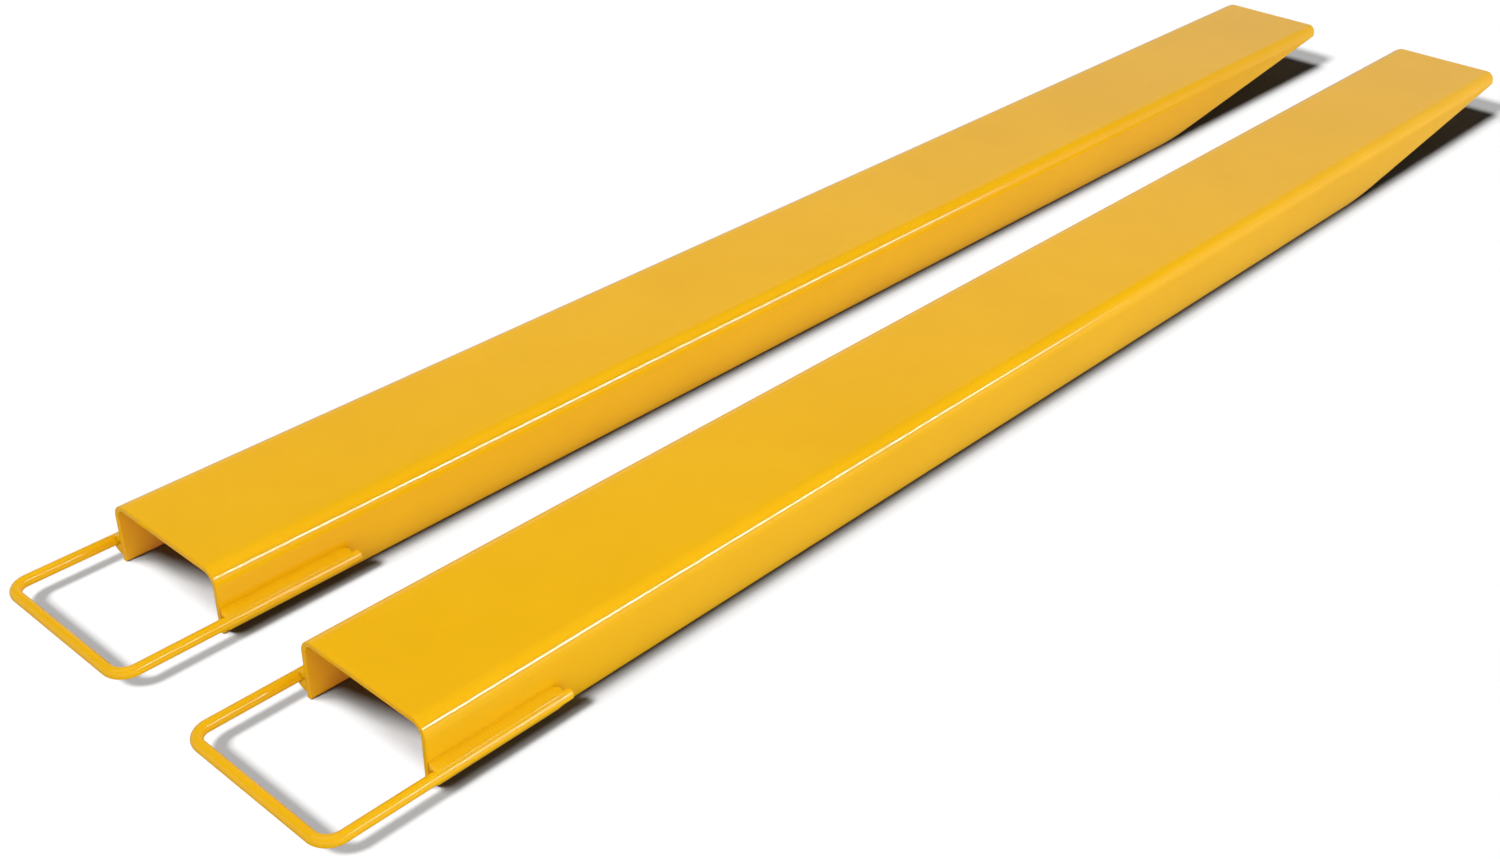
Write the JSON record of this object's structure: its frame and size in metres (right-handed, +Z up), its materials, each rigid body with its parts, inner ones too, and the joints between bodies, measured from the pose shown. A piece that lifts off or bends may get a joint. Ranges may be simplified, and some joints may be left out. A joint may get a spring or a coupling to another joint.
{
  "type": "pallet fork extension sleeves",
  "caption": "Slip-on fork extension sleeves laid side by side: folded steel channels with tapered noses and bent round-bar heel loops, painted yellow.",
  "frame": {"origin": "on the floor, in the middle of the overall length and width of the set", "axes": "+X runs from the heels with their loops to the tapered noses, +Y from the right extension to the left one, +Z up"},
  "size_m": [1.933, 0.442, 0.06],
  "materials": {
    "yellow_powder_coat": "glossy golden-yellow powder coat on steel"
  },
  "bodies": {
    "right_extension": {"right_sleeve_channel": "yellow_powder_coat", "right_heel_loop": "yellow_powder_coat", "right_nose_plate": "yellow_powder_coat", "right_nose_tip_weld": "yellow_powder_coat", "right_outboard_upper_loop_weld": "yellow_powder_coat", "right_outboard_lower_loop_weld": "yellow_powder_coat", "right_outboard_nose_seam_weld": "yellow_powder_coat", "right_inboard_upper_loop_weld": "yellow_powder_coat", "right_inboard_lower_loop_weld": "yellow_powder_coat", "right_inboard_nose_seam_weld": "yellow_powder_coat"},
    "left_extension": {"left_sleeve_channel": "yellow_powder_coat", "left_heel_loop": "yellow_powder_coat", "left_nose_plate": "yellow_powder_coat", "left_nose_tip_weld": "yellow_powder_coat", "left_outboard_upper_loop_weld": "yellow_powder_coat", "left_outboard_lower_loop_weld": "yellow_powder_coat", "left_outboard_nose_seam_weld": "yellow_powder_coat", "left_inboard_upper_loop_weld": "yellow_powder_coat", "left_inboard_lower_loop_weld": "yellow_powder_coat", "left_inboard_nose_seam_weld": "yellow_powder_coat"}
  },
  "joints": [
    {"name": "fork_spacing", "type": "slide", "parent": "right_extension", "child": "left_extension", "axis": [0, 1, 0], "range_m": [-0.064, 0.536]}
  ]
}
